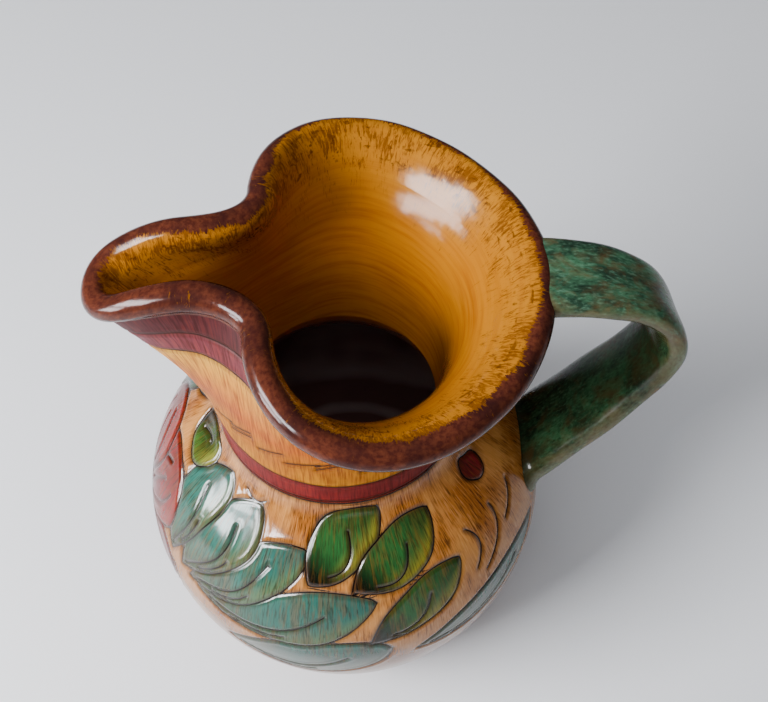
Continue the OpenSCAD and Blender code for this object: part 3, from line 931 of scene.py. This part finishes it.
# Handle
# A strap pulled from a lump of clay, pressed on the lip and the neck at the top, bent over, and wiped down
# on the belly with the thumbs. It is brushed with green glaze that breaks brown on its edges.
handle_top_h = mouth_h + 2.5
handle_low_h = 95.0
handle_reach = 108.0
bend_h = 163.0
strap_w = 28.5
strap_mid_w = 25.0
strap_low_w = 36.0
strap_t = 9.5
strap_low_t = 13.0
strap_dish = 1.2
strap_sides = 72
low_slope = math.radians(58)
mid_share = 0.4
spread_share = 0.5
wipe_share = 0.78
bend_twist = math.radians(8)
side_power = 0.55
face_power = 0.8
buried = 2.5
lip_clear = 2.4
foot_fillet = 5.0
fillet_w_share = 0.5
fillet_t_share = 0.35
# How far the strap runs straight on from its ends and its bend, as shares of its reach and its drops
top_lead_share = 0.66
bend_in_share = 0.6
bend_out_share = 0.22
low_lead_share = 0.42

low_run = np.array([math.cos(low_slope), math.sin(low_slope)])
belly_low_x = belly_r * math.sqrt(1 - ((handle_low_h - belly_h) / shoulder_b) ** 2)
handle_start = np.array([mouth_r, handle_top_h])
handle_bend = np.array([handle_reach, bend_h])
handle_end = np.array([belly_low_x, handle_low_h]) - strap_low_t * low_run
low_drop = bend_h - handle_low_h
top_lead = handle_start + [top_lead_share * (handle_reach - mouth_r), 0]
bend_in = handle_bend + [0, bend_in_share * (handle_top_h - bend_h)]
bend_out = handle_bend - [0, bend_out_share * low_drop]
low_lead = handle_end + low_lead_share * low_drop * low_run
half_steps = np.linspace(0, 1, 90)
upper_strap = bezier([handle_start, top_lead, bend_in, handle_bend], half_steps[:-1])
handle_line = np.concatenate([upper_strap, bezier([handle_bend, bend_out, low_lead, handle_end], half_steps)])
along_strap = np.linspace(0, 1, len(handle_line))

wiped = ease((along_strap - wipe_share) / (1 - wipe_share))
widened = ease((along_strap - spread_share) / (1 - spread_share))
narrowed = ease(along_strap / mid_share)
half_w = (strap_w + (strap_mid_w - strap_w) * narrowed + (strap_low_w - strap_mid_w) * widened) / 2
half_t = (strap_t + (strap_low_t - strap_t) * wiped) / 2
# Uneven pressure of the hand that pulled the strap
half_w = half_w * (1 + 0.012 * np.sin(19 * along_strap) + 0.01 * np.sin(43 * along_strap + 1))
half_t = half_t * (1 + 0.03 * np.sin(23 * along_strap + 2))
section_turn = np.linspace(0, 2 * np.pi, strap_sides, endpoint=False)
across = np.sign(np.cos(section_turn)) * np.abs(np.cos(section_turn)) ** side_power
thick = np.sign(np.sin(section_turn)) * np.abs(np.sin(section_turn)) ** face_power
dish = np.where(np.sin(section_turn) > 0, strap_dish * (1 - across**2), 0)
strap_out = -square_to(handle_line)
# The strap is twisted a little by the hand that bent it
twist = bend_twist * np.sin(np.pi * along_strap) ** 2
offset = half_t[:, None] * thick - dish - np.sin(twist)[:, None] * half_w[:, None] * across
strap_x = handle_line[:, :1] + offset * strap_out[:, :1]
strap_z = handle_line[:, 1:] + offset * strap_out[:, 1:]
strap = np.stack([strap_x, half_w[:, None] * across, strap_z], 2)
# Near the belly the clay is wiped out into a fillet, and what is sunk stops inside the belly's wall
lower = (along_strap > spread_share)[:, None]
stand_off = np.hypot(strap[..., 0], strap[..., 1]) - np.interp(strap[..., 2], side[:, 1], side[:, 0])
flared = foot_fillet * np.clip(1 - stand_off / foot_fillet, 0, 1) ** 2 * lower
strap[..., 1] += fillet_w_share * flared * across
strap[..., 0] += fillet_t_share * flared * thick * strap_out[:, :1]
strap[..., 2] += fillet_t_share * flared * thick * strap_out[:, 1:]
reach = np.hypot(strap[..., 0], strap[..., 1])
kept = np.maximum(reach, np.interp(strap[..., 2], side[:, 1], side[:, 0]) - buried) / reach
strap[..., :2] *= np.where(lower, kept, 1)[..., None]
first_ring = np.argmax(handle_line[:, 0] > mouth_r + lip_clear)
strap = strap[first_ring:]

# Green copper glaze: mottled over dark, streaked along the strap, with rusty patches, thin and brown where
# it runs off the edges, and painted shade on the face towards the belly
handle_glaze, shader, add = glazed("Mottled green glaze")
cloud_w = 9.0
cloud_l = 16.0
grain_w = 0.8
grain_l = 1.8
rust_w = 8.0
rust_l = 12.0
wrap = (add("Attribute", attribute_name="wrap"), "Vector")
cloud_map = add("Mapping", {"Vector": wrap, "Scale": per(cloud_w, cloud_l)})
clouds = add("TexNoise", {"Vector": cloud_map, "Scale": 1.0, "Detail": 4.0, "Roughness": 0.6})
grain_map = add("Mapping", {"Vector": wrap, "Scale": per(grain_w, grain_l)})
grain = add("TexNoise", {"Vector": grain_map, "Scale": 1.0, "Detail": 3.0})
green_share = add("MapRange", {"Value": clouds, "From": (0.38, 0.62)})
base_green = add("Mix", [green_share, "#263D2E", "#4C7C5A"], **laid_over)
teal_spots = add("MapRange", {"Value": grain, "From": (0.52, 0.74), "To": (0, 0.5)})
spotted = add("Mix", [teal_spots, base_green, "#6A9478"], **laid_over)
dark_spots = add("MapRange", {"Value": grain, "From": (0.46, 0.28), "To": (0, 0.6)})
darkened = add("Mix", [dark_spots, spotted, "#161E14"], **laid_over)
rust_map = add("Mapping", {"Vector": wrap, "Scale": per(rust_w, rust_l)})
rust = add(
    "TexNoise", {"Vector": rust_map, "Scale": 1.0, "Detail": 5.0, "Roughness": 0.65, "Distortion": 0.6}
)
rusty = add("MapRange", {"Value": rust, "From": (0.44, 0.66), "To": (0, 0.75)})
patched = add("Mix", [rusty, darkened, "#664A2A"], **laid_over)
# Painted shade: the strap's face towards the belly is darkened
shade_facing_belly = (add("Attribute", attribute_name="inner"), "Fac")
with_painted_shade = add("Mix", [shade_facing_belly, patched, "#98A090"], **multiplied)
edges = (add("Attribute", attribute_name="edge"), "Fac")
ragged = add("MapRange", {"Value": clouds, "From": (0.3, 0.7), "To": (-0.45, 0.45)})
edge_place = add("Math", [edges, ragged], operation="ADD")
broken = add("MapRange", {"Value": edge_place, "From": (0.6, 1.1), "To": (0, 0.75)})
brown_mix = add("Mix", [grain, "#46341A", "#5F5C40"], **laid_over)
finish = add("Mix", [broken, with_painted_shade, brown_mix], **laid_over)
gloss = add("MapRange", {"Value": grain, "To": (0.14, 0.3)})
wavy = add("Bump", {"Height": clouds, "Strength": 0.5, "Distance": 0.4 * MM})
grained = add("Bump", {"Height": grain, "Normal": wavy, "Strength": 0.3, "Distance": 0.08 * MM})
plug(shader, {"Base Color": finish, "Roughness": gloss, "Normal": grained})

handle = skin("handle_strap", strap, closed=False)
strap_length = run_lengths(handle_line)[first_ring:]
flat_places = (half_w[first_ring:, None] * across, offset[first_ring:], strap_length[:, None])
store(handle, "wrap", np.stack(np.broadcast_arrays(*flat_places), 2))
store(handle, "edge", np.broadcast_to(np.abs(across) ** 3, strap.shape[:2]))
# Share of painted shade, on the face towards the belly
store(handle, "inner", np.broadcast_to(smooth(0.2, -0.4, thick), strap.shape[:2]))
handle.data.materials.append(handle_glaze)
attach(handle, "root")
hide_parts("handle")

# Floor, light and camera
# A plain pale table top, a large soft window to the left and a broad light overhead, and the camera that
# looks down on the jug from in front.
floor_half = 6.0
floor_mesh = bpy.data.meshes.new("floor")
floor_corners = floor_half * np.array([(-1, -1, 0), (1, -1, 0), (1, 1, 0), (-1, 1, 0)])
floor_mesh.from_pydata(floor_corners, [], [(0, 1, 2, 3)])
floor = bpy.data.objects.new("floor", floor_mesh)
bpy.context.scene.collection.objects.link(floor)
floor_paint = bpy.data.materials.new("Matt white lacquer")
floor_paint.use_nodes = True
plug(floor_paint.node_tree.nodes["Principled BSDF"], {"Base Color": "#F8F9FB", "Roughness": 0.6})
floor_mesh.materials.append(floor_paint)

# Each light has a place, a target and a size in metres, a power in watts, a tint, and the rays that miss it.
# The sky in the panes lights the room no more than the window does, but shows much brighter in the glaze,
# and the ceiling only fills the shadows, because it is too dim to see in the glaze.
jug_middle = (0, 0, 0.1)
sky = "#FAFBFF"
lamps = (
    ("window", (-0.67, -0.33, 0.63), jug_middle, (0.5, 0.32), 17, sky, "visible_glossy"),
    ("pane", (-0.7, -0.3, 0.63), jug_middle, (0.7, 0.25), 60, sky, "visible_diffuse"),
    ("low pane", (-0.91, -0.31, 0.36), jug_middle, (0.42, 0.26), 27, sky, "visible_diffuse"),
    ("ceiling", (-0.3, -0.5, 2.0), (0, 0, 0), (2.0, 2.0), 22, "#F8FAFF", "visible_glossy"),
)
for name, place, target, size, power, tint, missed_by in lamps:
    light = bpy.data.lights.new(name, "AREA")
    light.shape = "RECTANGLE"
    light.size, light.size_y = size
    light.energy = power
    light.color = linear(tint)
    lamp = bpy.data.objects.new(name, light)
    lamp.location = place
    run = np.array(target) - np.array(place)
    lamp.rotation_euler = (math.atan2(np.hypot(run[0], run[1]), -run[2]), 0, math.atan2(-run[0], run[1]))
    setattr(lamp, missed_by, False)
    bpy.context.scene.collection.objects.link(lamp)
world = bpy.data.worlds.new("studio")
world.use_nodes = True
plug(world.node_tree.nodes["Background"], {"Color": "#E6E9F0", "Strength": 0.15})
bpy.context.scene.world = world

# The photograph is 768 pixels wide, and its focal length is that of a phone's main camera
image_w = 768
focal_px = 1100
camera_place = (7.1, -203.9, 460)
camera_tilt = math.radians(34)
camera_turn = math.radians(-2.3)
camera_data = bpy.data.cameras.new("camera")
camera_data.sensor_width = 36.0
camera_data.lens = focal_px / image_w * camera_data.sensor_width
camera_data.clip_start = 0.01
camera = bpy.data.objects.new("camera", camera_data)
camera.location = np.array(camera_place) * MM
camera.rotation_euler = (camera_tilt, 0, camera_turn)
bpy.context.scene.collection.objects.link(camera)
bpy.context.scene.camera = camera
